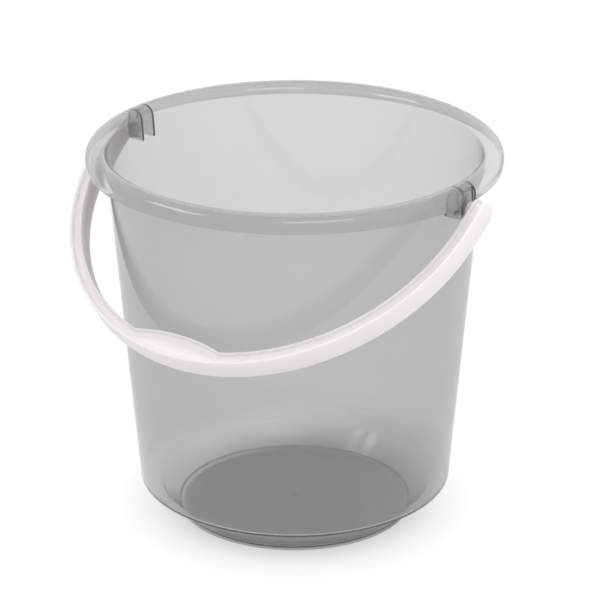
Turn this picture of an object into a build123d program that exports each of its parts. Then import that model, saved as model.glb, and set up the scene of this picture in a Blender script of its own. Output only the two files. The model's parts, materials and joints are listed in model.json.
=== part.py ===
from build123d import *
import math
import os

# Bucket with a swinging bail handle. Millimetres, +Z up.
# The origin is on the bucket's axis, on the plane that its foot stands on.
# The handle's pivot axis runs along X, and at rest the handle hangs towards -Y.

# Bucket, driving dimensions
bucket_height = 262.5       # foot to the top of the rim
wall_radius_high = 126.8    # outside of the wall, carried up to the top of the rim
wall_radius_low = 106.99    # outside of the wall, carried down to the knee
wall = 1.6                  # moulded thickness of wall, shoulder, foot and rim
knee_height = 22.8          # corner between wall and shoulder above the ground
knee_round = 4.0            # outer radius of that corner
root_radius = 92.7          # hollow corner between the sloping shoulder and the foot's cone
root_height = 16.5          # that corner above the ground
root_round = 4.0            # radius of that corner
foot_radius = 81.0          # outside of the foot where it stands
foot_height = 2.6           # upright edge of the foot, below its cone
foot_round = 0.4            # lower outer edge of the foot's rib
foot_width = 7.0            # foot ring, from its outside in to the edge of the floor disc
floor_lift = 1.3            # underside of the floor above the ground
floor_thickness = 1.8
floor_round = 1.5           # hollow between floor and cone inside

# Rim, driving dimensions
rim_reach = 13.6            # how far the rim stands out from the wall
rim_drop = 11.5             # height of the skirt that hangs from the rim
rim_draft = 1.0             # how far the skirt leans in at its lower edge
rim_outer_round = 7.0
rim_inner_round = 7.0

# Pivot lugs, driving dimensions
pivot_drop = 16.4           # pivot axis below the top of the rim
ear_inset = 2.4             # flat ear face inside the rim's edge
ear_thickness = 1.8
ear_edge = 2.4              # material below the pivot hole
ear_sink = 0.8              # top of the ear below the rim's round
web_spacing = 12.4          # between the middles of a lug's two webs
web_thickness = 2.0
lug_round = 3.0             # lower outer corner of a lug

# Handle, driving dimensions
bail_gap = 2.6              # between the rim's edge and the inside of the handle's legs
leg_length = 14.4           # straight leg between a pivot and the half circle
strap_width = 16.0
strap_depth = 8.7
flange_depth = 2.1          # outer flange of the strap's H section
lip_depth = 1.3             # inner lip of the strap's H section
groove_depth = 2.4          # groove on each side of the strap, between flange and lip
grip_length = 68.0          # between the kinks at the two ends of the grip
grip_swell = 4.3            # how far the grip bulges inside the chord between its kinks

# Pivot pegs, driving dimensions
peg_diameter = 6.0
boss_margin = 0.7           # boss stands inside the middles of the lug's webs by this much on each side
head_catch = 0.8            # snap head stands out over the peg
head_length = 2.6
head_taper = 1.2            # lead-in chamfer on the snap head

# Clearances
peg_clearance = 0.05        # radial, peg in its hole
face_clearance = 0.3        # boss and snap head beside the ear
rest_clearance = 0.3        # grip beside the wall that it comes to rest on

# Sizes that follow from these
rim_radius = wall_radius_high + rim_reach
wall_slope = (wall_radius_high - wall_radius_low) / (bucket_height - knee_height)
foot_inside = foot_radius - wall
floor_radius = foot_radius - foot_width
floor_top = floor_lift + floor_thickness
foot_top = floor_top + floor_round
wall_bottom = knee_height + knee_round
wall_top = bucket_height - wall - rim_inner_round
rim_skirt_edge = bucket_height - rim_drop
pivot_height = bucket_height - pivot_drop
ear_face = rim_radius - ear_inset
lug_width = web_spacing + web_thickness
pocket_width = web_spacing - web_thickness
hole_radius = peg_diameter / 2 + peg_clearance
lug_bottom = pivot_height - hole_radius - ear_edge
bail_inner_radius = rim_radius + bail_gap
bail_outer_radius = bail_inner_radius + strap_depth
core_width = strap_width - 2 * groove_depth


def wall_radius(height):
    """Outside radius of the straight wall at a height."""
    return wall_radius_low + wall_slope * (height - knee_height)


# Bucket's section, in the plane through its axis
def inset(before, corner, after):
    """Corner that lies one wall inside two straight runs of the outside."""
    first = (corner - before).normalized()
    second = (after - corner).normalized()
    inward = Vector(-first.Y - second.Y, first.X + second.X)
    return corner + inward * (wall / (1 + first.dot(second)))


def shell_section():
    """Foot, shoulder, wall and rim as one thin outline, before it is cut into its pieces."""
    under_rim = bucket_height - wall
    foot_edge = Vector(foot_radius, 0)
    foot_corner = Vector(foot_radius, foot_height)
    root_corner = Vector(root_radius, root_height)
    knee_corner = Vector(wall_radius_low, knee_height)
    rim_hollow_corner = Vector(wall_radius(under_rim), under_rim)
    skirt_hollow_corner = Vector(rim_radius - wall, under_rim)
    skirt_inner_edge = Vector(rim_radius - wall - rim_draft, rim_skirt_edge)
    skirt_outer_edge = Vector(rim_radius - rim_draft, rim_skirt_edge)
    rim_outer_corner = Vector(rim_radius, bucket_height)
    rim_inner_corner = Vector(wall_radius(bucket_height) - wall, bucket_height)
    knee_inner_corner = inset(root_corner, knee_corner, rim_hollow_corner)
    root_inner_corner = inset(foot_corner, root_corner, knee_corner)
    cone_lean = (root_radius - foot_radius) / (root_height - foot_height)
    floor_reach = root_inner_corner.X - cone_lean * (root_inner_corner.Y - floor_top)
    floor_corner = Vector(floor_reach, floor_top)
    floor_edge = Vector(floor_radius, floor_top)
    floor_under_edge = Vector(floor_radius, floor_lift)
    rib_root = Vector(foot_inside, floor_lift)
    rib_edge = Vector(foot_inside, 0)
    outline = make_face(
        Polyline(
            foot_edge, foot_corner, root_corner, knee_corner, rim_hollow_corner, skirt_hollow_corner,
            skirt_inner_edge, skirt_outer_edge, rim_outer_corner, rim_inner_corner,
            knee_inner_corner, root_inner_corner, floor_corner, floor_edge, floor_under_edge,
            rib_root, rib_edge, close=True,
        )
    )
    rounds = [
        (foot_edge, foot_round),
        (root_corner, root_round),
        (root_inner_corner, root_round + wall),
        (knee_corner, knee_round),
        (knee_inner_corner, knee_round - wall),
        (floor_corner, floor_round),
        (rim_hollow_corner, rim_inner_round - wall),
        (rim_inner_corner, rim_inner_round),
        (rim_outer_corner, rim_outer_round),
        (skirt_hollow_corner, rim_outer_round - wall),
    ]
    for place, size in rounds:
        corner = outline.vertices().sort_by_distance(place)[0]
        outline = fillet(corner, size)
    return outline


def zone(inner, outer, low, high):
    """Rectangle in the section plane, between two radii and two heights."""
    return Pos((inner + outer) / 2, (low + high) / 2) * Rectangle(outer - inner, high - low)


def turned(section):
    """Solid of revolution about the bucket's axis."""
    return revolve(Plane.XZ * section, Axis.Z)


section = shell_section()
foot_zone = zone(0, wall_radius_high, 0, foot_top)
shoulder_zone = zone(0, wall_radius_high, foot_top, wall_bottom)
wall_zone = zone(0, wall_radius(wall_top), wall_bottom, wall_top)
bucket_wall = turned(section & wall_zone)
shoulder_step = turned(section & shoulder_zone)
foot_ring = turned(section & foot_zone)
base_floor = turned(zone(0, floor_radius, floor_lift, floor_top))

# Rim with a flat notch between the two webs of each lug
notch_depth = ear_inset + ear_thickness
notch_centre = rim_radius - notch_depth / 2
lug_notch = Box(notch_depth, pocket_width, 2 * rim_drop)
rolled_rim = turned(section - foot_zone - shoulder_zone - wall_zone)
for side in (1, -1):
    rolled_rim -= Pos(side * notch_centre, 0, bucket_height) * lug_notch


# Pivot lugs: two webs that close the rim's channel beside the notch, and a flat ear between them
def pivot_lug():
    """Lug on the +X side, moulded to the wall, the rim's underside and the skirt."""
    lug_root = wall_radius(lug_bottom) - wall / 2
    ear_corner = Vector(ear_face, lug_bottom)
    outline = make_face(
        Polyline(
            (lug_root, lug_bottom), ear_corner, (ear_face, rim_skirt_edge), (rim_radius, rim_skirt_edge),
            (rim_radius, bucket_height), (lug_root, bucket_height), close=True,
        )
    )
    lower_corner = outline.vertices().sort_by_distance(ear_corner)[0]
    outline = fillet(lower_corner, lug_round)
    block = extrude(Plane.XZ * outline, lug_width / 2, both=True)
    pocket_reach = ear_face - ear_thickness
    pocket = Pos(pocket_reach / 2, 0, bucket_height) * Box(
        pocket_reach, pocket_width, 2 * bucket_height
    )
    front = Pos(ear_face + ear_inset / 2, 0, bucket_height) * Box(
        ear_inset, pocket_width, 2 * bucket_height
    )
    hole = Pos(ear_face, 0, pivot_height) * Rot(0, 90, 0) * Cylinder(hole_radius, 2 * ear_thickness)
    mouth = zone(0, wall_radius_high + rim_inner_round, lug_bottom, bucket_height) - section
    inside = mouth.faces().sort_by(Axis.X)[0]
    skirt_reach = rim_radius - ear_sink - rim_draft
    crest_corner = Vector(rim_radius - ear_sink, bucket_height - ear_sink)
    envelope = make_face(
        Polyline(
            (0, 0), (skirt_reach, 0), (skirt_reach, rim_skirt_edge), crest_corner,
            (0, bucket_height - ear_sink), close=True,
        )
    )
    envelope = fillet(envelope.vertices().sort_by_distance(crest_corner)[0], rim_outer_round - ear_sink)
    lug = (block - pocket - front - hole) & turned(envelope)
    return lug - turned(inside) - bucket_wall - rolled_rim


right_pivot_lug = pivot_lug()
left_pivot_lug = mirror(right_pivot_lug, Plane.YZ)

# Handle's rest angle: the grip's lower inner edge lies beside the wall.
# In the handle's own plane u runs along the pivot axis and v runs from the axis out to the grip.
grip_half = grip_length / 2
kink_reach = leg_length + math.sqrt(bail_inner_radius**2 - grip_half**2)
grip_reach = kink_reach - grip_swell
half_width = strap_width / 2
reach_along = grip_reach + wall_slope * half_width
reach_across = wall_slope * grip_reach - half_width
wall_distance = wall_radius(pivot_height) + rest_clearance * math.hypot(1, wall_slope)
rest_angle = math.atan2(reach_across, reach_along) + math.acos(
    wall_distance / math.hypot(reach_along, reach_across)
)
handle_plane = Plane(
    origin=(0, 0, pivot_height),
    x_dir=(1, 0, 0),
    z_dir=(0, math.sin(rest_angle), -math.cos(rest_angle)),
)


# Handle's outlines, in its own plane
def bail_area(radius):
    """Inside of the bail's outline at a radius: straight legs and a half circle."""
    legs = Pos(0, leg_length / 2) * Rectangle(2 * radius, leg_length)
    bow = Pos(0, leg_length) * (Circle(radius) & Pos(0, radius) * Rectangle(2 * radius, 2 * radius))
    return legs + bow


def grip_area(inset):
    """Disc whose edge is the grip's inner line, or a line set back from it."""
    grip_radius = (grip_half**2 + grip_swell**2) / (2 * grip_swell)
    return Pos(0, grip_reach + grip_radius) * Circle(grip_radius - inset)


def strap(outline, width):
    """Outline of the handle's plane given a width on both sides of that plane."""
    return extrude(handle_plane * outline, width / 2, both=True)


core_radius = bail_outer_radius - flange_depth
lip_radius = bail_inner_radius + lip_depth
core_depth = strap_depth - flange_depth - lip_depth
grip_zone = bail_area(core_radius) & grip_area(0)

flange_ring = bail_area(bail_outer_radius) - bail_area(core_radius)
core_ring = bail_area(core_radius) - bail_area(lip_radius) - grip_zone
lip_ring = bail_area(lip_radius) - bail_area(bail_inner_radius) - grip_zone

handle_bow = strap(flange_ring, strap_width) + strap(core_ring, core_width) + strap(lip_ring, strap_width)


# Rounded tab ends of the bow, about the pivot axis
def axis_disc(radius, inner, outer):
    """Cylinder about the pivot axis, between two places on the +X side."""
    return Pos((inner + outer) / 2, 0, pivot_height) * Rot(0, 90, 0) * Cylinder(radius, outer - inner)


tab_layers = [
    (strap_width / 2, core_radius, bail_outer_radius),
    (core_width / 2, lip_radius, core_radius),
    (strap_width / 2, bail_inner_radius, lip_radius),
]
for radius, inner, outer in tab_layers:
    tab = axis_disc(radius, inner, outer)
    handle_bow += tab
    handle_bow += mirror(tab, Plane.YZ)

grip_lip = (grip_area(0) - grip_area(lip_depth)) & bail_area(lip_radius)
grip_plateau = bail_area(core_radius) & grip_area(lip_depth + core_depth)
grip_pad = strap(grip_zone, core_width) + strap(grip_plateau, strap_width) + strap(grip_lip, strap_width)


# Pivot pegs: boss, peg through the ear and snap head behind it
def pivot_peg():
    """Peg on the +X side."""
    boss_face = ear_face + face_clearance
    head_face = ear_face - ear_thickness - face_clearance
    head_end = head_face - head_length
    boss = axis_disc(web_spacing / 2 - boss_margin, boss_face, bail_inner_radius)
    pin = axis_disc(peg_diameter / 2, head_face, boss_face)
    head = axis_disc(peg_diameter / 2 + head_catch, head_end, head_face)
    head = chamfer(head.edges().sort_by(Axis.X)[0], head_taper)
    return boss + pin + head


right_pivot_peg = pivot_peg()
left_pivot_peg = mirror(right_pivot_peg, Plane.YZ)

nodes = {
    "bucket_wall": bucket_wall,
    "shoulder_step": shoulder_step,
    "foot_ring": foot_ring,
    "base_floor": base_floor,
    "rolled_rim": rolled_rim,
    "right_pivot_lug": right_pivot_lug,
    "left_pivot_lug": left_pivot_lug,
    "handle_bow": handle_bow,
    "grip_pad": grip_pad,
    "right_pivot_peg": right_pivot_peg,
    "left_pivot_peg": left_pivot_peg,
}
os.makedirs("parts", exist_ok=True)
for name, shape in nodes.items():
    export_step(shape, f"parts/{name}.step")
print("handle's rest angle below level, degrees:", round(math.degrees(rest_angle), 3))
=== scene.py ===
"""Clear grey bucket with a white bail handle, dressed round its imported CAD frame."""
import json
import math

import bmesh
import bpy
from bpy.props import FloatProperty, FloatVectorProperty, PointerProperty
from mathutils import Matrix, Vector


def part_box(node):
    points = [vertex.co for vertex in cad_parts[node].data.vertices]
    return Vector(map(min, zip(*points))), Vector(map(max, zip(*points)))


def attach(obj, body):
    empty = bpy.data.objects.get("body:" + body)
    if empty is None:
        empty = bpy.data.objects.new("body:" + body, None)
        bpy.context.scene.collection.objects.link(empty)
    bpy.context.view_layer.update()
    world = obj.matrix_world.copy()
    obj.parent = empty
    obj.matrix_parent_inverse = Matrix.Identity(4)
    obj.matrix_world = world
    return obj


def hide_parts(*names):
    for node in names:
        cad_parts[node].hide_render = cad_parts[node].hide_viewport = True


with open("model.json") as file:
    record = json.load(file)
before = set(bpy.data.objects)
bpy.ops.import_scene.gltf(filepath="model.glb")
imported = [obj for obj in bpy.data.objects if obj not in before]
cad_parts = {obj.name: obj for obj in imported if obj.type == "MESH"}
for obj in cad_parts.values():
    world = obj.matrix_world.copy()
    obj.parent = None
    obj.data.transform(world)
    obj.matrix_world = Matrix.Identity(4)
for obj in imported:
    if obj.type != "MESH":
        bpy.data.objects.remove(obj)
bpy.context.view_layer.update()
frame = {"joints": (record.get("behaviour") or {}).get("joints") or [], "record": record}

bl_info = {
    "name": "Clear bucket",
    "version": (1, 0, 0),
    "blender": (4, 5, 0),
    "location": "3D View > Sidebar > Bucket",
    "description": "Makes a clear plastic bucket with a white bail handle round its CAD frame",
    "category": "Mesh",
}

MM = 0.001

# Places read from the frame
RIM_LOW, RIM_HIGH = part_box("rolled_rim")
FLOOR_LOW, FLOOR_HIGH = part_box("base_floor")
LUG_LOW, LUG_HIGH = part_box("right_pivot_lug")
PEG_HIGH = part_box("right_pivot_peg")[1]
BOW_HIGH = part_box("handle_bow")[1]
PIVOT = Vector(frame["joints"][0]["pos_m"])
GRIP_MOUNT = next(m for m in frame["record"]["mounts"] if m["name"] == "handle_grip")

# Directions of the lowered handle: along the pivot axis, out to the grip, and square to its plane
ACROSS = Vector((1, 0, 0))
OUTWARD = -Vector(GRIP_MOUNT["axis"]).normalized()
UPWARD = OUTWARD.cross(ACROSS)

# Fineness of the meshes
SHELL_TURNS = 256
PEG_TURNS = 48
HOLE_TURNS = 48
ARC_STEP = math.radians(9)
MIN_ARC_STEPS = 3
TAB_STEPS = 16
BOW_STATIONS = 80
GRIP_STATIONS = 48
LEG_STATIONS = 4
FLOOR_CORNERS = 96
SHARP_ANGLE = math.radians(38)
BEVEL_ANGLE = math.radians(50)
BEVEL_STEPS = 2
ON_AXIS = 1e-7

# Where the seam beside the grip's pad starts, as a share of the flange's depth
SEAM_START = 0.55

# Upright waves of the clear wall: cells to the metre, fineness, share of those upright, and depth
WAVE_SCALE = 55.0
WAVE_DETAIL = 2.0
WAVE_UPRIGHT = 0.08
WAVE_STRENGTH = 0.025
WAVE_DEPTH = 0.5 * MM

# Haze of the clear plastic: cells to the metre, fineness, and its swing of the roughness
HAZE_SCALE = 24.0
HAZE_DETAIL = 3.0
HAZE_SWING = 0.02

# How far below the rim the clear plastic starts to get rougher
RIM_BLEND = 4.0 * MM

# Clouds in the white plastic: cells to the metre, fineness, and their swing of the roughness
CLOUD_SCALE = 30.0
CLOUD_DETAIL = 3.0
CLOUD_SWING = 0.10

# Moulded grain of the white plastic: cells to the metre, fineness, and depth
GRAIN_SCALE = 2600.0
GRAIN_DETAIL = 2.0
GRAIN_STRENGTH = 0.06
GRAIN_DEPTH = 0.1 * MM

# Shader values: middle of a noise, plain white and its strength, a depth that is even in red, green and
# blue, and the places of a Mix node's colour sockets
NOISE_MIDDLE = 0.5
PLAIN_WHITE = (1.0, 1.0, 1.0)
WHITE_STRENGTH = 1.0
EVEN_DEPTH = (1.0, 1.0, 1.0)
MIX_FIRST = 6
MIX_SECOND = 7
MIX_RESULT = 2

# Studio floor: how far it lies under the foot, and how far inside the foot's edge the real shade under
# the foot ends and the painted glow begins, and how softly
FLOOR_GAP = 0.1 * MM
FOOT_SHADE = 5.2 * MM
FOOT_BLUR = 2.5 * MM

# Camera: width of its sensor in millimetres, and the farthest that it sees in metres
SENSOR = 36.0
FARTHEST = 20.0


# Properties
def length(name, description, default):
    """A length in metres that a user may change."""
    return FloatProperty(
        name=name,
        description=description,
        default=default,
        unit="LENGTH",
        subtype="DISTANCE",
        precision=5,
    )


def amount(name, description, default):
    """A plain number that a user may change."""
    return FloatProperty(name=name, description=description, default=default, precision=4)


def turn(name, description, degrees):
    """An angle that a user may change."""
    return FloatProperty(
        name=name,
        description=description,
        default=math.radians(degrees),
        unit="ROTATION",
        subtype="ANGLE",
    )


def watts(name, description, default):
    """A lamp's power that a user may change."""
    return FloatProperty(name=name, description=description, default=default, unit="POWER")


def colour(name, description, default):
    """A linear colour that a user may change."""
    return FloatVectorProperty(
        name=name, description=description, default=default, size=3, min=0, max=1, subtype="COLOR"
    )


class ShellSizes(bpy.types.PropertyGroup):
    """Sizes of the clear bucket."""

    height: length("Height", "Foot to the top of the rim", RIM_HIGH.z)
    skirt_edge: length("Skirt edge", "Height of the rim's lower edge", RIM_LOW.z)
    wall: length("Wall", "Moulded thickness", 1.6 * MM)
    wall_radius_high: length("Upper wall radius", "Outside of the wall at the rim's top", 126.8 * MM)
    wall_radius_low: length("Lower wall radius", "Outside of the wall at the knee's corner", 106.99 * MM)
    knee_height: length("Knee height", "Corner between wall and shoulder above the ground", 22.8 * MM)
    knee_round: length("Knee round", "Outer radius of that corner", 2.4 * MM)
    knee_hollow: length("Knee hollow", "Inner radius of that corner", 3.4 * MM)
    root_radius: length("Root radius", "Hollow corner between shoulder and cone", 92.7 * MM)
    root_height: length("Root height", "That corner above the ground", 16.5 * MM)
    root_round: length("Root round", "Radius of that corner", 4.0 * MM)
    foot_radius: length("Foot radius", "Outside of the foot where it stands", 81.0 * MM)
    foot_height: length("Foot height", "Upright edge of the foot, below its cone", 2.6 * MM)
    rib_slope: length("Rib slope", "Width of the rise under the floor beside the rib", 2.6 * MM)
    rib_rise: length("Rib rise", "How far the floor's underside rises there", 0.55 * MM)
    rib_round: length("Rib round", "Bend where that rise starts", 5.0 * MM)
    floor_round: length("Floor round", "Hollow between floor and cone inside", 1.5 * MM)
    rim_radius: length("Rim radius", "Rim's edge, before it is rounded", 140.4 * MM)
    rim_draft: length("Rim draft", "How far the skirt leans in", 1.0 * MM)
    rim_outer_round: length("Rim's outer round", "Between the rim's top and its skirt", 7.0 * MM)
    rim_inner_round: length("Rim's inner round", "Between the rim's top and the wall", 7.0 * MM)
    edge_round: length("Edge round", "Softened free edges", 0.5 * MM)
    gate_radius: length("Gate radius", "Mark of the moulding gate in the middle of the floor", 1.5 * MM)
    gate_height: length("Gate height", "How far the gate's mark stands out", 0.5 * MM)


class LugSizes(bpy.types.PropertyGroup):
    """Sizes of the pivot lugs under the rim."""

    ear_inset: length("Ear inset", "Flat ear face inside the rim's edge", 2.4 * MM)
    ear_thickness: length("Ear thickness", "Flat plate that carries the peg", 1.8 * MM)
    web_thickness: length("Web thickness", "Two webs that join the ear to the wall", 2.0 * MM)
    lower_round: length("Lower round", "Lower outer corner", 3.0 * MM)
    hole_radius: length("Hole radius", "Hole for the peg", 3.05 * MM)
    overlap: length("Overlap", "How far the lug stands in from the edges of the rim", 0.15 * MM)
    notch_sink: length("Notch sink", "How far the rim's notch reaches behind the ear face", 0.6 * MM)
    edge_round: length("Edge round", "Softened edges", 0.25 * MM)


class HandleSizes(bpy.types.PropertyGroup):
    """Sizes of the bail handle."""

    outer_radius: length("Outer radius", "Outside of the half circle", BOW_HIGH.x)
    depth: length("Depth", "Strap from its outer to its inner face", BOW_HIGH.x - PEG_HIGH.x)
    width: length("Width", "Strap across its plane", 16.0 * MM)
    leg: length("Leg", "Straight leg beside each pivot", 14.4 * MM)
    flange: length("Flange", "Outer flange of the strap's section", 2.1 * MM)
    lip: length("Lip", "Inner lip of the strap's section", 1.3 * MM)
    groove: length("Groove", "Depth of the groove on each side", 2.4 * MM)
    grip_length: length("Grip length", "Between the kinks at the grip's ends", 68.0 * MM)
    grip_swell: length("Grip swell", "How far the grip bulges inside its chord", 4.3 * MM)
    edge_round: length("Edge round", "Softened edges of flange and lip", 0.55 * MM)
    groove_round: length("Groove round", "Corner between the groove and the flange", 0.4 * MM)
    lip_round: length("Lip round", "Hollow between the groove and the lip", 1.2 * MM)
    seam_depth: length("Seam depth", "Line between the grip's pad and the flange", 0.3 * MM)
    seam_width: length("Seam width", "Half width of that line", 0.25 * MM)


class PegSizes(bpy.types.PropertyGroup):
    """Sizes of the snap-in pivot pegs."""

    pin_radius: length("Pin radius", "Pin in the ear's hole", 3.0 * MM)
    boss_radius: length("Boss radius", "Boss on the handle's inner face", PEG_HIGH.y)
    head_radius: length("Head radius", "Snap head behind the ear", 3.8 * MM)
    head_length: length("Head length", "Snap head along the axis", 2.6 * MM)
    head_taper: length("Head taper", "Lead-in of the snap head", 1.2 * MM)
    clearance: length("Clearance", "Boss and head beside the ear", 0.3 * MM)
    root: length("Root", "How far the boss runs into the strap", 1.0 * MM)
    edge_round: length("Edge round", "Softened edges", 0.3 * MM)


class Finishes(bpy.types.PropertyGroup):
    """Colours and surfaces of the two plastics."""

    clear_tint: colour("Clear tint", "What the clear plastic lets through", (0.5, 0.5, 0.5))
    clear_density: amount("Clear density", "Absorption of the clear plastic, per metre", 375.0)
    clear_share: amount("Clear share", "What passes straight on at a surface, the rest is haze", 0.92)
    clear_ior: amount("Clear index", "Refractive index of the clear plastic", 1.5)
    clear_roughness: amount("Clear roughness", "Polish of the clear plastic", 0.015)
    rim_roughness: amount("Rim roughness", "How much rougher the clear plastic is on the rim", 0.045)
    white: colour("White", "White plastic", (0.865, 0.838, 0.828))
    white_shade: colour("White shade", "White plastic in its darker clouds", (0.845, 0.818, 0.808))
    white_roughness: amount("White roughness", "Satin of the white plastic", 0.36)
    white_ior: amount("White index", "Refractive index of the white plastic", 1.5)
    white_depth: length("White depth", "How far light travels inside the white plastic", 5.0 * MM)
    white_share: amount("White share", "Share of the light that goes below its surface", 1.0)


class StageSizes(bpy.types.PropertyGroup):
    """Camera, floor and light."""

    lens: FloatProperty(
        name="Lens", description="Focal length in millimetres", default=182.76, unit="CAMERA"
    )
    distance: length("Distance", "Camera from the point it looks at", 2.07515)
    azimuth: turn("Azimuth", "Camera's place round the bucket", 35.6)
    elevation: turn("Elevation", "Camera's place above the horizon", 22.553)
    aim_height: length("Aim height", "Height of the point that the camera looks at", 149.53 * MM)
    aim_aside: length("Aim aside", "That point to the right of the bucket's axis", 3.59 * MM)
    floor_radius: length("Floor radius", "Round studio floor", 4.0)
    floor_grey: amount("Floor grey", "Light that the floor scatters", 0.78)
    glow_near: amount("Glow near", "Share of plain white in the floor seen beside the foot", 0.55)
    glow_reach: length("Glow reach", "From the axis to where the floor is plain white", 125.0 * MM)
    # Painted darker reflection: far from the bucket the floor keeps less of its glow for mirror rays
    # than for the camera
    glow_mirrored: amount("Glow mirrored", "How much of that white the plastic mirrors from afar", 0.3)
    # Painted shade: these place a disc behind and right of the bucket where the floor's glow, seen
    # through and mirrored in the plastic, is left out; no lamp casts it
    painted_shade_back: length("Shade back", "Middle of the softboxes' shade behind the axis", 40.0 * MM)
    painted_shade_right: length("Shade right", "Middle of that shade to the right of the axis", 40.0 * MM)
    painted_shade_core: length("Shade core", "Radius within which that shade is full", 60.0 * MM)
    painted_shade_reach: length("Shade reach", "Radius at which that shade ends", 110.0 * MM)
    sky: amount("Sky", "Strength of the studio light from all round", 0.98)
    sky_tilt: amount("Sky tilt", "How much stronger that light is from the bright side", 0.30)
    sky_azimuth: turn("Sky azimuth", "Bright side, round the bucket", 152.0)
    box_distance: length("Softbox distance", "Softboxes from the bucket", 2.2)
    box_width: length("Softbox width", "Long side of each softbox, level", 1.15)
    box_height: length("Softbox height", "Short side of each softbox", 0.5)
    key_azimuth: turn("Key azimuth", "Softbox beside the camera, round the bucket", 51.0)
    key_elevation: turn("Key elevation", "That softbox above the horizon", 51.0)
    key_power: watts("Key power", "Power of that softbox", 4.8)
    side_azimuth: turn("Side azimuth", "Softbox on the left, round the bucket", -40.0)
    side_elevation: turn("Side elevation", "That softbox above the horizon", 42.0)
    side_power: watts("Side power", "Power of that softbox", 7.2)


class BucketDesign(bpy.types.PropertyGroup):
    """Everything that a user may change."""

    shell: PointerProperty(type=ShellSizes)
    lug: PointerProperty(type=LugSizes)
    handle: PointerProperty(type=HandleSizes)
    peg: PointerProperty(type=PegSizes)
    finish: PointerProperty(type=Finishes)
    stage: PointerProperty(type=StageSizes)


# Directions
def toward(azimuth, elevation):
    """Direction from the bucket to a place round it, from the front at azimuth 0."""
    level = math.cos(elevation)
    return Vector((math.sin(azimuth) * level, -math.cos(azimuth) * level, math.sin(elevation)))


def beside(azimuth):
    """Level direction to the right, as seen from a place round the bucket."""
    return Vector((math.cos(azimuth), math.sin(azimuth), 0))


# Shaders
class Wire:
    """An output socket. Arithmetic on wires adds Math nodes to their tree."""

    def __init__(self, tree, socket):
        self.tree = tree
        self.socket = socket

    def maths(self, operation, first, second):
        """A Math node on two wires or numbers."""
        return add_node(self.tree, "ShaderNodeMath", {"operation": operation}, {0: first, 1: second})

    def __add__(self, other):
        return self.maths("ADD", self, other)

    def __radd__(self, other):
        return self.maths("ADD", other, self)

    def __sub__(self, other):
        return self.maths("SUBTRACT", self, other)

    def __rsub__(self, other):
        return self.maths("SUBTRACT", other, self)

    def __mul__(self, other):
        return self.maths("MULTIPLY", self, other)

    def __rmul__(self, other):
        return self.maths("MULTIPLY", other, self)

    def larger(self, other):
        """The larger of two wires."""
        return self.maths("MAXIMUM", self, other)


def add_node(tree, kind, settings=None, sockets=None, output=0):
    """A node of a kind: its settings first, then its sockets set or linked. Gives one output."""
    made = tree.nodes.new(kind)
    for name, value in (settings or {}).items():
        setattr(made, name, value)
    for name, value in (sockets or {}).items():
        if isinstance(value, Wire):
            tree.links.new(value.socket, made.inputs[name])
        else:
            made.inputs[name].default_value = value
    return Wire(tree, made.outputs[output]) if made.outputs else None


def opaque(rgb):
    """A colour with full alpha, as colour sockets take it."""
    return (*rgb, 1.0)


def new_tree(name):
    """An empty node tree in a new material."""
    material = bpy.data.materials.new(name)
    material.use_nodes = True
    material.node_tree.nodes.clear()
    return material, material.node_tree


def noise(tree, vector, scale, detail):
    """Noise from 0 to 1 at a number of cells to the metre."""
    return add_node(
        tree, "ShaderNodeTexNoise", {}, {"Vector": vector, "Scale": scale, "Detail": detail}, "Fac"
    )


def distance(tree, place, point):
    """Distance of a place from a point."""
    return add_node(
        tree, "ShaderNodeVectorMath", {"operation": "DISTANCE"}, {0: place, 1: point}, "Value"
    )


def rising(tree, value, low, high, start=0.0):
    """Rises from a start to 1 while a value goes from low to high."""
    return add_node(
        tree,
        "ShaderNodeMapRange",
        {},
        {"Value": value, "From Min": low, "From Max": high, "To Min": start, "To Max": 1.0},
    )


def ray(tree, kind):
    """1 for rays of a kind, 0 for others."""
    return add_node(tree, "ShaderNodeLightPath", output=kind)


def clear_grey_plastic(finish):
    """Polished clear plastic with a smoky tint and the faint waves of a moulded wall."""
    material, tree = new_tree("clear_grey_plastic")
    place = add_node(tree, "ShaderNodeTexCoord", output="Object")
    along = add_node(
        tree, "ShaderNodeVectorMath", {"operation": "MULTIPLY"}, {0: place, 1: (1.0, 1.0, WAVE_UPRIGHT)}
    )
    waves = noise(tree, along, WAVE_SCALE, WAVE_DETAIL)
    haze = noise(tree, place, HAZE_SCALE, HAZE_DETAIL)
    height = add_node(tree, "ShaderNodeSeparateXYZ", {}, {0: place}, "Z")
    on_rim = rising(tree, height, RIM_LOW.z - RIM_BLEND, RIM_LOW.z)
    hazy = HAZE_SWING * (haze - NOISE_MIDDLE)
    roughness = finish.clear_roughness + hazy + finish.rim_roughness * on_rim
    normal = add_node(
        tree,
        "ShaderNodeBump",
        {},
        {"Strength": WAVE_STRENGTH, "Distance": WAVE_DEPTH, "Height": waves},
    )
    surface = add_node(
        tree,
        "ShaderNodeBsdfPrincipled",
        {},
        {
            "Base Color": opaque(PLAIN_WHITE),
            "Roughness": roughness,
            "IOR": finish.clear_ior,
            "Transmission Weight": finish.clear_share,
            "Normal": normal,
        },
    )
    body = add_node(
        tree,
        "ShaderNodeVolumeAbsorption",
        {},
        {"Color": opaque(finish.clear_tint), "Density": finish.clear_density},
    )
    add_node(tree, "ShaderNodeOutputMaterial", {}, {"Surface": surface, "Volume": body})
    return material


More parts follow.
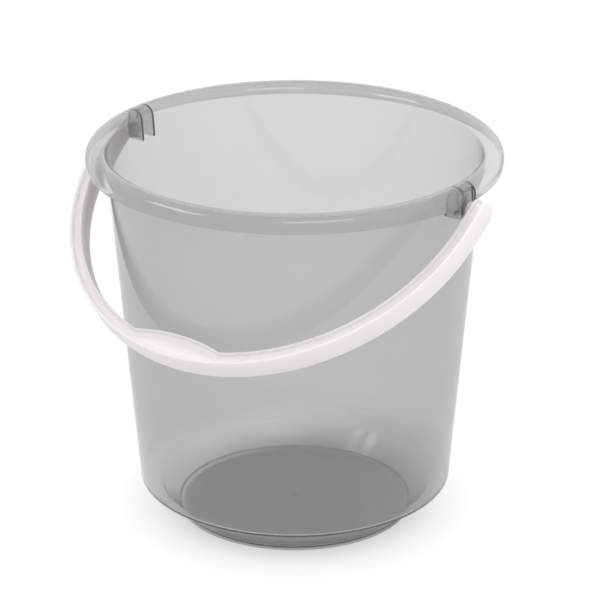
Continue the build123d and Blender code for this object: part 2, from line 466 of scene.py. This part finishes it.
def white_plastic(finish):
    """Warm white satin plastic with a fine moulded grain."""
    material, tree = new_tree("white_plastic")
    place = add_node(tree, "ShaderNodeTexCoord", output="Object")
    cloud = noise(tree, place, CLOUD_SCALE, CLOUD_DETAIL)
    grain = noise(tree, place, GRAIN_SCALE, GRAIN_DETAIL)
    tone = add_node(
        tree,
        "ShaderNodeMix",
        {"data_type": "RGBA"},
        {"Factor": cloud, MIX_FIRST: opaque(finish.white), MIX_SECOND: opaque(finish.white_shade)},
        MIX_RESULT,
    )
    roughness = finish.white_roughness + CLOUD_SWING * (cloud - NOISE_MIDDLE)
    normal = add_node(
        tree,
        "ShaderNodeBump",
        {},
        {"Strength": GRAIN_STRENGTH, "Distance": GRAIN_DEPTH, "Height": grain},
    )
    surface = add_node(
        tree,
        "ShaderNodeBsdfPrincipled",
        {},
        {
            "Base Color": tone,
            "Roughness": roughness,
            "IOR": finish.white_ior,
            "Normal": normal,
            "Subsurface Weight": finish.white_share,
            "Subsurface Radius": EVEN_DEPTH,
            "Subsurface Scale": finish.white_depth,
        },
    )
    add_node(tree, "ShaderNodeOutputMaterial", {}, {"Surface": surface})
    return material


def studio_floor(stage, foot_radius):
    """Pale floor that keeps the bucket's shadow and turns plain white away from it. Its white glow is
    painted light, seen directly, through the plastic and mirrored in it: it reaches a little under the
    foot's edge, is weaker beside the foot, and, as seen through and mirrored in the plastic, is left out
    in a painted shade behind and to the right of the bucket.
    """
    material, tree = new_tree("studio_floor")
    camera = ray(tree, "Is Camera Ray")
    mirrored = ray(tree, "Is Glossy Ray")
    through = ray(tree, "Is Transmission Ray")
    place = add_node(tree, "ShaderNodeTexCoord", output="Object")
    reach = distance(tree, place, Vector())
    painted_shade_middle = stage.painted_shade_right * beside(stage.azimuth) - stage.painted_shade_back * toward(stage.azimuth, 0)
    # Painted light: the glow starts a little way inside the foot's edge, so the ground under the foot's
    # rim glows where it is really in shade
    shade_edge = foot_radius - FOOT_SHADE
    free = rising(tree, reach, shade_edge, shade_edge + FOOT_BLUR)
    white = rising(tree, reach, foot_radius, stage.glow_reach, stage.glow_near)
    # Painted shade: as seen through and mirrored in the plastic, the glow is left out in a disc behind
    # and to the right of the bucket, and elsewhere the floor glows as painted lamp light
    painted_light_pool = rising(tree, distance(tree, place, painted_shade_middle), stage.painted_shade_core, stage.painted_shade_reach)
    far = rising(tree, reach, stage.glow_reach, 2 * stage.glow_reach)
    # Painted darker reflection: far away the floor seen mirrored in the plastic keeps only part of its
    # glow, so it mirrors darker than it looks directly
    mirror = mirrored * (1 - (1 - stage.glow_mirrored) * far)
    share = free * white * camera.larger(painted_light_pool * through.larger(mirror))
    scatter = add_node(
        tree, "ShaderNodeBsdfDiffuse", {}, {"Color": opaque((stage.floor_grey,) * 3)}
    )
    glow = add_node(tree, "ShaderNodeEmission", {}, {"Strength": WHITE_STRENGTH})
    both = add_node(tree, "ShaderNodeMixShader", {}, {0: share, 1: scatter, 2: glow})
    add_node(tree, "ShaderNodeOutputMaterial", {}, {"Surface": both})
    return material


def surroundings(tree, strength):
    """Plain white surroundings of a strength."""
    return add_node(
        tree, "ShaderNodeBackground", {}, {"Color": opaque(PLAIN_WHITE), "Strength": strength}
    )


def studio_sky(stage):
    """Soft light from all round, stronger on one side; what is seen of it directly is plain white."""
    world = bpy.data.worlds.new("studio")
    world.use_nodes = True
    tree = world.node_tree
    tree.nodes.clear()
    way = add_node(tree, "ShaderNodeTexCoord", output="Generated")
    bright_side = toward(stage.sky_azimuth, 0)
    facing = add_node(
        tree, "ShaderNodeVectorMath", {"operation": "DOT_PRODUCT"}, {0: way, 1: bright_side}, "Value"
    )
    dim = surroundings(tree, stage.sky * (1 - stage.sky_tilt))
    bright = surroundings(tree, stage.sky * (1 + stage.sky_tilt))
    around = add_node(
        tree, "ShaderNodeMixShader", {}, {0: rising(tree, facing, -1.0, 1.0), 1: dim, 2: bright}
    )
    white = surroundings(tree, WHITE_STRENGTH)
    direct = ray(tree, "Is Camera Ray").larger(ray(tree, "Is Transmission Ray"))
    seen = add_node(tree, "ShaderNodeMixShader", {}, {0: direct, 1: around, 2: white})
    add_node(tree, "ShaderNodeOutputWorld", {}, {"Surface": seen})
    return world


# Outlines
def corner_arc(before, corner, after, size):
    """Points of the arc that rounds the corner between two straight runs."""
    back = (before - corner).normalized()
    ahead = (after - corner).normalized()
    half = back.angle(ahead) / 2
    centre = corner + (back + ahead).normalized() * (size / math.sin(half))
    first = corner + back * (size / math.tan(half)) - centre
    last = corner + ahead * (size / math.tan(half)) - centre
    sweep = math.atan2(first.cross(last), first.dot(last))
    steps = max(MIN_ARC_STEPS, math.ceil(abs(sweep) / ARC_STEP))
    return [centre + Matrix.Rotation(sweep * i / steps, 2) @ first for i in range(steps + 1)]


def rounded_line(corners):
    """Points along an open line of (x, y, round) corners, each corner turned by its own arc."""
    places = [Vector(corner[:2]) for corner in corners]
    points = [places[0]]
    for i in range(1, len(corners) - 1):
        size = corners[i][2]
        if size:
            points += corner_arc(places[i - 1], places[i], places[i + 1], size)
        else:
            points.append(places[i])
    return points + [places[-1]]


# Meshes
def new_piece(name, vertices, faces):
    """An object from vertices and faces, with its normals turned outward."""
    mesh = bpy.data.meshes.new(name)
    mesh.from_pydata(vertices, [], faces)
    form = bmesh.new()
    form.from_mesh(mesh)
    bmesh.ops.recalc_face_normals(form, faces=form.faces)
    form.to_mesh(mesh)
    form.free()
    piece = bpy.data.objects.new(name, mesh)
    bpy.context.scene.collection.objects.link(piece)
    return piece


def lathe(name, outline, turns, place):
    """Closed form turned about Z from (radius, height) points that start and end on the axis."""
    vertices = []
    rings = []
    for point in outline:
        count = 1 if point.x < ON_AXIS else turns
        rings.append(range(len(vertices), len(vertices) + count))
        for i in range(count):
            angle = math.tau * i / turns
            spot = Vector((point.x * math.cos(angle), point.x * math.sin(angle), point.y))
            vertices.append(place @ spot)
    faces = []
    for low, high in zip(rings, rings[1:]):
        for i in range(turns):
            j = (i + 1) % turns
            face = [low[i % len(low)], low[j % len(low)], high[j % len(high)], high[i % len(high)]]
            faces.append(list(dict.fromkeys(face)))
    return new_piece(name, vertices, faces)


def prism(name, outline, half_width):
    """Closed form of an outline of (x, z) points, carried along Y to both sides."""
    count = len(outline)
    vertices = [(p.x, side * half_width, p.y) for side in (-1, 1) for p in outline]
    faces = [list(range(count)), list(range(count, 2 * count))]
    for i in range(count):
        j = (i + 1) % count
        faces.append([i, j, j + count, i + count])
    return new_piece(name, vertices, faces)


def block(name, low, high):
    """Box between two corners."""
    corners = ((low.x, low.z), (high.x, low.z), (high.x, high.z), (low.x, high.z))
    return prism(name, [Vector(corner) for corner in corners], high.y)


def settle(piece):
    """Takes the result of a piece's modifiers as its mesh."""
    graph = bpy.context.evaluated_depsgraph_get()
    mesh = bpy.data.meshes.new_from_object(piece.evaluated_get(graph))
    piece.modifiers.clear()
    piece.data = mesh


def combine(piece, tool, operation):
    """Cuts a tool from a piece or joins it to the piece, and takes the tool away."""
    modifier = piece.modifiers.new(operation, "BOOLEAN")
    modifier.operation = operation
    modifier.solver = "EXACT"
    modifier.object = tool
    settle(piece)
    bpy.data.objects.remove(tool)


def soften(piece, size):
    """Rounds a piece's sharp edges a little."""
    modifier = piece.modifiers.new("edges", "BEVEL")
    modifier.width = size
    modifier.segments = BEVEL_STEPS
    modifier.limit_method = "ANGLE"
    modifier.angle_limit = BEVEL_ANGLE
    settle(piece)


def dress(piece, material, slot, body, *nodes):
    """Gives a piece its smooth faces, material and place on a body of the frame."""
    mesh = piece.data
    mesh.shade_smooth()
    mesh.set_sharp_from_angle(angle=SHARP_ANGLE)
    mesh.materials.clear()
    mesh.materials.append(material)
    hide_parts(*nodes)
    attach(piece, body)


# Bucket
def wall_radius(shell, height):
    """Outside radius of the straight wall at a height."""
    slope = (shell.wall_radius_high - shell.wall_radius_low) / (shell.height - shell.knee_height)
    return shell.wall_radius_low + slope * (height - shell.knee_height)


def inset(before, corner, after, depth):
    """Corner that lies a depth inside two straight runs of the outside."""
    first = (corner - before).normalized()
    second = (after - corner).normalized()
    inward = Vector((-first.y - second.y, first.x + second.x))
    return corner + inward * (depth / (1 + first.dot(second)))


def shell_outline(shell):
    """Section of the whole bucket, from the axis under its floor round to the axis on top of it."""
    wall = shell.wall
    edge = shell.edge_round
    top = shell.height
    under_rim = top - wall
    gate_foot = shell.gate_radius + shell.gate_height
    foot_inside = shell.foot_radius - wall
    foot_corner = Vector((shell.foot_radius, shell.foot_height))
    root = Vector((shell.root_radius, shell.root_height))
    knee = Vector((shell.wall_radius_low, shell.knee_height))
    rim_hollow = Vector((wall_radius(shell, under_rim), under_rim))
    knee_inside = inset(root, knee, rim_hollow, wall)
    root_inside = inset(foot_corner, root, knee, wall)
    lean = (root.x - foot_corner.x) / (root.y - foot_corner.y)
    floor_reach = root_inside.x - lean * (root_inside.y - FLOOR_HIGH.z)
    under_floor = [
        (0, FLOOR_LOW.z, 0),
        (foot_inside - shell.rib_slope, FLOOR_LOW.z, shell.rib_round),
        (foot_inside, FLOOR_LOW.z + shell.rib_rise, edge),
    ]
    outside = [
        (foot_inside, 0, edge),
        (shell.foot_radius, 0, edge),
        (*foot_corner, edge),
        (*root, shell.root_round),
        (*knee, shell.knee_round),
    ]
    rim = [
        (*rim_hollow, shell.rim_inner_round - wall),
        (shell.rim_radius - wall, under_rim, shell.rim_outer_round - wall),
        (shell.rim_radius - wall - shell.rim_draft, shell.skirt_edge, edge),
        (shell.rim_radius - shell.rim_draft, shell.skirt_edge, edge),
        (shell.rim_radius, top, shell.rim_outer_round),
        (wall_radius(shell, top) - wall, top, shell.rim_inner_round),
    ]
    inside = [
        (*knee_inside, shell.knee_hollow),
        (*root_inside, shell.root_round + wall),
        (floor_reach, FLOOR_HIGH.z, shell.floor_round),
        (gate_foot, FLOOR_HIGH.z, 0),
        (shell.gate_radius, FLOOR_HIGH.z + shell.gate_height, 0),
        (0, FLOOR_HIGH.z + shell.gate_height, 0),
    ]
    return rounded_line(under_floor + outside + rim + inside)


def along_pivot(side):
    """Turns a form made about Z so that it lies along the pivot axis on one side."""
    to_axis = Matrix.Rotation(math.pi / 2, 4, "Y")
    return Matrix.Translation(PIVOT) @ Matrix.Scale(side, 4, ACROSS) @ to_axis


def ear_radius(shell, lug):
    """Distance of the ear's flat face from the bucket's axis."""
    return shell.rim_radius - lug.ear_inset


def lug_outline(shell, lug):
    """Side of a lug: rooted half way into wall, rim and skirt, and reaching down below the skirt."""
    half_wall = shell.wall / 2
    ear_face = ear_radius(shell, lug)
    root = wall_radius(shell, LUG_LOW.z) - half_wall
    skirt = shell.rim_radius - half_wall
    skirt_low = shell.skirt_edge + lug.overlap
    corners = [
        (root, LUG_LOW.z, 0),
        (
            wall_radius(shell, shell.height) - half_wall,
            shell.height - half_wall,
            shell.rim_inner_round - half_wall,
        ),
        (skirt, shell.height - half_wall, shell.rim_outer_round - half_wall),
        (skirt - shell.rim_draft, skirt_low, 0),
        (ear_face, skirt_low, 0),
        (ear_face, LUG_LOW.z, lug.lower_round),
        (root, LUG_LOW.z, 0),
    ]
    return rounded_line(corners)[:-1]


def make_notch(shell, lug):
    """Gap in the rim between the webs of the right lug."""
    notch_half = LUG_HIGH.y - lug.web_thickness + lug.overlap
    margin = shell.wall
    return block(
        "notch",
        Vector((ear_radius(shell, lug) - lug.notch_sink, -notch_half, shell.skirt_edge - margin)),
        Vector((shell.rim_radius + margin, notch_half, shell.height + margin)),
    )


def make_lug(shell, lug):
    """Right lug: two webs and the ear between them, with its pivot hole."""
    ear_face = ear_radius(shell, lug)
    pocket_half = LUG_HIGH.y - lug.web_thickness
    margin = shell.wall
    form = prism("lug", lug_outline(shell, lug), LUG_HIGH.y)
    front = block(
        "front",
        Vector((ear_face, -pocket_half, LUG_LOW.z - margin)),
        Vector((shell.rim_radius + margin, pocket_half, shell.height + margin)),
    )
    pocket = block(
        "pocket",
        Vector((shell.wall_radius_low, -pocket_half, LUG_LOW.z - margin)),
        Vector((ear_face - lug.ear_thickness, pocket_half, shell.height + margin)),
    )
    hole_start = ear_face - 2 * lug.ear_thickness
    hole_end = ear_face + lug.ear_thickness
    hole_outline = rounded_line(
        [
            (0, hole_start, 0),
            (lug.hole_radius, hole_start, 0),
            (lug.hole_radius, hole_end, 0),
            (0, hole_end, 0),
        ]
    )
    hole = lathe("hole", hole_outline, HOLE_TURNS, along_pivot(1))
    for tool in (front, pocket, hole):
        combine(form, tool, "DIFFERENCE")
    soften(form, lug.edge_round)
    return form


def add_lug(piece, shell, lug, side):
    """Notches the rim and moulds a lug to the bucket, on the right or mirrored to the left."""
    notch = make_notch(shell, lug)
    form = make_lug(shell, lug)
    for tool in (notch, form):
        tool.data.transform(Matrix.Scale(side, 4, ACROSS))
        if side < 0:
            tool.data.flip_normals()
    combine(piece, notch, "DIFFERENCE")
    combine(piece, form, "UNION")


# Handle
def lens_reach(handle, angle, setback):
    """Depth from the strap's outer face to the grip's inner line less a setback, or 0 beside it."""
    inner = handle.outer_radius - handle.depth
    half = handle.grip_length / 2
    lens_radius = (half**2 + handle.grip_swell**2) / (2 * handle.grip_swell)
    lens_centre = math.sqrt(inner**2 - half**2) - handle.grip_swell + lens_radius
    radius = lens_radius - setback
    inside = (lens_centre * math.sin(angle)) ** 2 - lens_centre**2 + radius**2
    if inside < 0:
        return 0
    return handle.outer_radius - lens_centre * math.sin(angle) + math.sqrt(inside)


def strap_section(handle, angle):
    """Half of the strap's section as (depth, half width) points, from outer face to inner face."""
    half = handle.width / 2
    core = half - handle.groove
    web = handle.depth - handle.flange - handle.lip
    depth = max(handle.depth, lens_reach(handle, angle, 0))
    lip_start = max(handle.depth - handle.lip, lens_reach(handle, angle, handle.lip))
    pad_end = max(handle.flange, lens_reach(handle, angle, handle.lip + web))
    share = min(1, (pad_end - handle.flange) / handle.flange)
    seam = handle.flange * (SEAM_START + (1 - SEAM_START) * share)
    pad_half = half - handle.seam_depth * share / 2
    return rounded_line(
        [
            (0, 0, 0),
            (0, half, handle.edge_round),
            (seam - handle.seam_width, half, 0),
            (seam, half - handle.seam_depth * share, 0),
            (seam + handle.seam_width, pad_half, 0),
            (pad_end, pad_half, handle.edge_round),
            (pad_end, core, handle.groove_round),
            (lip_start, core, handle.lip_round),
            (lip_start, half, handle.edge_round),
            (depth, half, handle.edge_round),
            (depth, 0, 0),
        ]
    )


def bow_angles(handle):
    """Angles of the stations round the half circle, closer together along the grip."""
    inner = handle.outer_radius - handle.depth
    kink = math.acos(handle.grip_length / 2 / inner)
    side = [kink * i / BOW_STATIONS for i in range(BOW_STATIONS)]
    grip = [kink + (math.pi - 2 * kink) * i / GRIP_STATIONS for i in range(GRIP_STATIONS + 1)]
    return side + grip + [math.pi - angle for angle in reversed(side)]


def bow_stations(handle):
    """Sections along the handle: (place on the outer line, direction inward, half section)."""
    radius = handle.outer_radius
    plain = strap_section(handle, 0)
    steps = [handle.leg * i / LEG_STATIONS for i in range(LEG_STATIONS)]
    stations = [(Vector((radius, v)), Vector((-1, 0)), plain) for v in steps]
    for angle in bow_angles(handle):
        spoke = Vector((math.cos(angle), math.sin(angle)))
        place = Vector((0, handle.leg)) + radius * spoke
        stations.append((place, -spoke, strap_section(handle, angle)))
    stations += [(Vector((-radius, v)), Vector((1, 0)), plain) for v in reversed(steps)]
    return stations


def in_plane(u, v, w):
    """A place from the handle's own directions."""
    return PIVOT + u * ACROSS + v * OUTWARD + w * UPWARD


def tab_faces(handle, side, ring, vertices):
    """Faces of the round tab that closes one end of the strap; its vertices are added to the list."""
    half = strap_section(handle, 0)
    last = len(half) - 1
    rows = [list(ring[: last + 1])]
    for step in range(1, TAB_STEPS):
        angle = math.pi * step / TAB_STEPS
        row = [ring[0]]
        for point in half[1:-1]:
            row.append(len(vertices))
            u = side * (handle.outer_radius - point.x)
            vertices.append(in_plane(u, -point.y * math.sin(angle), point.y * math.cos(angle)))
        rows.append(row + [ring[last]])
    rows.append([ring[0], *reversed(ring[last + 1 :]), ring[last]])
    faces = []
    for above, below in zip(rows, rows[1:]):
        for i in range(last):
            face = [above[i], above[i + 1], below[i + 1], below[i]]
            faces.append(list(dict.fromkeys(face)))
    return faces


def make_bow(handle):
    """The handle as one closed form, with a round tab about the pivot axis at each end."""
    vertices = []
    rings = []
    for place, inward, half in bow_stations(handle):
        spots = [(place + inward * p.x, p.y) for p in half]
        spots += [(place + inward * p.x, -p.y) for p in reversed(half[1:-1])]
        rings.append(range(len(vertices), len(vertices) + len(spots)))
        vertices += [in_plane(spot.x, spot.y, w) for spot, w in spots]
    faces = []
    count = len(rings[0])
    for near, far in zip(rings, rings[1:]):
        for i in range(count):
            j = (i + 1) % count
            faces.append([near[i], near[j], far[j], far[i]])
    for side, ring in ((1, rings[0]), (-1, rings[-1])):
        faces += tab_faces(handle, side, ring, vertices)
    return new_piece("bail_handle", vertices, faces)


def make_peg(name, peg, ear_face, ear_thickness, side):
    """Boss, pin and snap head on the handle's inner face."""
    boss_face = ear_face + peg.clearance
    head_face = ear_face - ear_thickness - peg.clearance
    head_end = head_face - peg.head_length
    root = PEG_HIGH.x + peg.root
    edge = peg.edge_round
    outline = rounded_line(
        [
            (0, head_end, 0),
            (peg.head_radius - peg.head_taper, head_end, edge),
            (peg.head_radius, head_end + peg.head_taper, edge),
            (peg.head_radius, head_face, edge),
            (peg.pin_radius, head_face, 0),
            (peg.pin_radius, boss_face, 0),
            (peg.boss_radius, boss_face, edge),
            (peg.boss_radius, root, 0),
            (0, root, 0),
        ]
    )
    return lathe(name, outline, PEG_TURNS, along_pivot(side))


# Operators
class OBJECT_OT_bucket_shell(bpy.types.Operator):
    """Makes the clear bucket with its foot, rim and pivot lugs"""

    bl_idname = "object.bucket_shell"
    bl_label = "Clear bucket"

    def execute(self, context):
        design = context.scene.bucket_design
        piece = lathe("clear_bucket", shell_outline(design.shell), SHELL_TURNS, Matrix.Identity(4))
        for side in (1, -1):
            add_lug(piece, design.shell, design.lug, side)
        dress(
            piece,
            clear_grey_plastic(design.finish),
            "clear_grey_plastic",
            "bucket",
            "bucket_wall",
            "shoulder_step",
            "foot_ring",
            "base_floor",
            "rolled_rim",
            "right_pivot_lug",
            "left_pivot_lug",
        )
        return {"FINISHED"}


class OBJECT_OT_bucket_handle(bpy.types.Operator):
    """Makes the white bail handle with its grip and its two pivot pegs"""

    bl_idname = "object.bucket_handle"
    bl_label = "Bail handle"

    def execute(self, context):
        design = context.scene.bucket_design
        material = white_plastic(design.finish)
        ear_face = ear_radius(design.shell, design.lug)
        bow = make_bow(design.handle)
        dress(bow, material, "white_plastic", "handle", "handle_bow", "grip_pad")
        for name, side in (("right_peg", 1), ("left_peg", -1)):
            peg = make_peg(name, design.peg, ear_face, design.lug.ear_thickness, side)
            dress(peg, material, "white_plastic", "handle", name.replace("peg", "pivot_peg"))
        return {"FINISHED"}


class OBJECT_OT_bucket_stage(bpy.types.Operator):
    """Makes the floor, the light and the camera"""

    bl_idname = "object.bucket_stage"
    bl_label = "Stage"

    def execute(self, context):
        design = context.scene.bucket_design
        stage = design.stage
        self.lay_floor(stage, design.shell.foot_radius)
        self.hang_light(context.scene, stage)
        self.place_camera(context.scene, stage)
        context.scene.view_settings.view_transform = "Standard"
        return {"FINISHED"}

    def lay_floor(self, stage, foot_radius):
        """Round pale floor just under the bucket's foot."""
        corners = range(FLOOR_CORNERS)
        edge = [stage.floor_radius * beside(math.tau * i / FLOOR_CORNERS) for i in corners]
        floor = new_piece("studio_floor", edge, [list(corners)])
        floor.location.z = -FLOOR_GAP
        floor.data.materials.append(studio_floor(stage, foot_radius))

    def hang_light(self, scene, stage):
        """White surroundings, brighter on one side, and two softboxes."""
        scene.world = studio_sky(stage)
        softboxes = (
            ("key_softbox", stage.key_azimuth, stage.key_elevation, stage.key_power),
            ("side_softbox", stage.side_azimuth, stage.side_elevation, stage.side_power),
        )
        for softbox in softboxes:
            self.hang_softbox(scene, stage, *softbox)

    def hang_softbox(self, scene, stage, name, azimuth, elevation, power):
        """Level rectangular lamp that faces the bucket."""
        lamp = bpy.data.lights.new(name, "AREA")
        lamp.shape = "RECTANGLE"
        lamp.size = stage.box_width
        lamp.size_y = stage.box_height
        lamp.energy = power
        away = toward(azimuth, elevation)
        box = bpy.data.objects.new(name, lamp)
        box.location = Vector((0, 0, stage.aim_height)) + stage.box_distance * away
        box.rotation_euler = (-away).to_track_quat("-Z", "Y").to_euler()
        box.visible_camera = False
        scene.collection.objects.link(box)

    def place_camera(self, scene, stage):
        """Camera at the photograph's viewing angle."""
        back = toward(stage.azimuth, stage.elevation)
        right = beside(stage.azimuth)
        data = bpy.data.cameras.new("camera")
        data.lens = stage.lens
        data.sensor_width = SENSOR
        data.clip_end = FARTHEST
        camera = bpy.data.objects.new("camera", data)
        aim = Vector((0, 0, stage.aim_height)) + stage.aim_aside * right
        camera.location = aim + stage.distance * back
        camera.rotation_euler = (-back).to_track_quat("-Z", "Y").to_euler()
        scene.collection.objects.link(camera)
        scene.camera = camera


class VIEW3D_PT_bucket(bpy.types.Panel):
    """Lists the bucket's sizes and the operators that make it"""

    bl_label = "Bucket"
    bl_space_type = "VIEW_3D"
    bl_region_type = "UI"
    bl_category = "Bucket"

    def draw(self, context):
        design = context.scene.bucket_design
        for operator in OPERATORS:
            self.layout.operator(operator.bl_idname)
        for group in GROUPS:
            box = self.layout.box()
            box.label(text=group.capitalize())
            sizes = getattr(design, group)
            for name in sizes.__annotations__:
                box.prop(sizes, name)


GROUPS = ("shell", "lug", "handle", "peg", "finish", "stage")
OPERATORS = (OBJECT_OT_bucket_shell, OBJECT_OT_bucket_handle, OBJECT_OT_bucket_stage)
CLASSES = (
    ShellSizes,
    LugSizes,
    HandleSizes,
    PegSizes,
    Finishes,
    StageSizes,
    BucketDesign,
    *OPERATORS,
    VIEW3D_PT_bucket,
)


def register():
    """Makes the classes and the design known to Blender."""
    for made in CLASSES:
        bpy.utils.register_class(made)
    bpy.types.Scene.bucket_design = PointerProperty(type=BucketDesign)


def unregister():
    """Takes the design and the classes away again."""
    del bpy.types.Scene.bucket_design
    for made in reversed(CLASSES):
        bpy.utils.unregister_class(made)


def main():
    """Makes the whole scene."""
    register()
    bpy.ops.object.bucket_shell()
    bpy.ops.object.bucket_handle()
    bpy.ops.object.bucket_stage()


if __name__ == "__main__":
    main()
